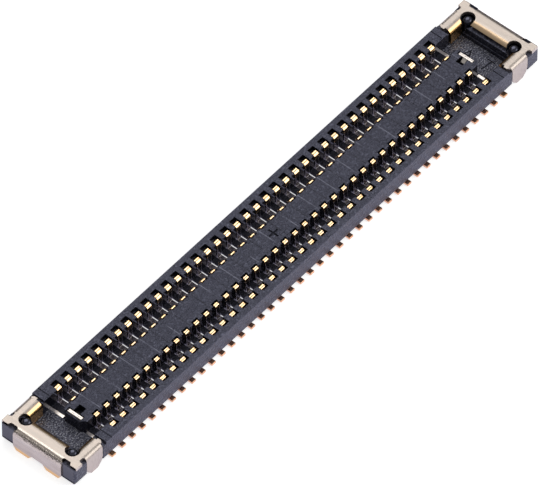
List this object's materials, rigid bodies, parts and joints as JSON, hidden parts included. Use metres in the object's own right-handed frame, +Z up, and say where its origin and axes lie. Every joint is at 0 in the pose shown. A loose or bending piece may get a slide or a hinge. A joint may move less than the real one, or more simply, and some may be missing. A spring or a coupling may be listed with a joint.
{
  "type": "fine pitch board connector socket",
  "caption": "Low fine pitch board-to-board and flexible circuit connector socket: dark moulded housing, gold contacts in facing rows and folded metal end caps.",
  "frame": {"origin": "on the board plane, under the middle of the socket: the contact tails and the caps' feet rest on z = 0", "axes": "+X along the contact rows, +Y across them, +Z up from the board and out of the mating cavity"},
  "size_m": [0.0166, 0.0024, 0.0006],
  "materials": {
    "housing_resin": "dark blue-grey glass filled resin, fine satin",
    "cap_sheet": "pale plated copper alloy sheet, satin",
    "contact_gold": "gold plated copper alloy strip, polished"
  },
  "bodies": {
    "root": {"housing": "housing_resin", "end_cap_right": "cap_sheet", "end_cap_left": "cap_sheet", "island_plate_right": "contact_gold", "island_plate_left": "contact_gold", "contact_pair_01": "contact_gold", "contact_pair_02": "contact_gold", "contact_pair_03": "contact_gold", "contact_pair_04": "contact_gold", "contact_pair_05": "contact_gold", "contact_pair_06": "contact_gold", "contact_pair_07": "contact_gold", "contact_pair_08": "contact_gold", "contact_pair_09": "contact_gold", "contact_pair_10": "contact_gold", "contact_pair_11": "contact_gold", "contact_pair_12": "contact_gold", "contact_pair_13": "contact_gold", "contact_pair_14": "contact_gold", "contact_pair_15": "contact_gold", "contact_pair_16": "contact_gold", "contact_pair_17": "contact_gold", "contact_pair_18": "contact_gold", "contact_pair_19": "contact_gold", "contact_pair_20": "contact_gold", "contact_pair_21": "contact_gold", "contact_pair_22": "contact_gold", "contact_pair_23": "contact_gold", "contact_pair_24": "contact_gold", "contact_pair_25": "contact_gold", "contact_pair_26": "contact_gold", "contact_pair_27": "contact_gold", "contact_pair_28": "contact_gold", "contact_pair_29": "contact_gold", "contact_pair_30": "contact_gold", "contact_pair_31": "contact_gold", "contact_pair_32": "contact_gold", "contact_pair_33": "contact_gold", "contact_pair_34": "contact_gold", "contact_pair_35": "contact_gold", "contact_pair_36": "contact_gold", "contact_pair_37": "contact_gold", "contact_pair_38": "contact_gold", "contact_pair_39": "contact_gold"}
  },
  "joints": []
}
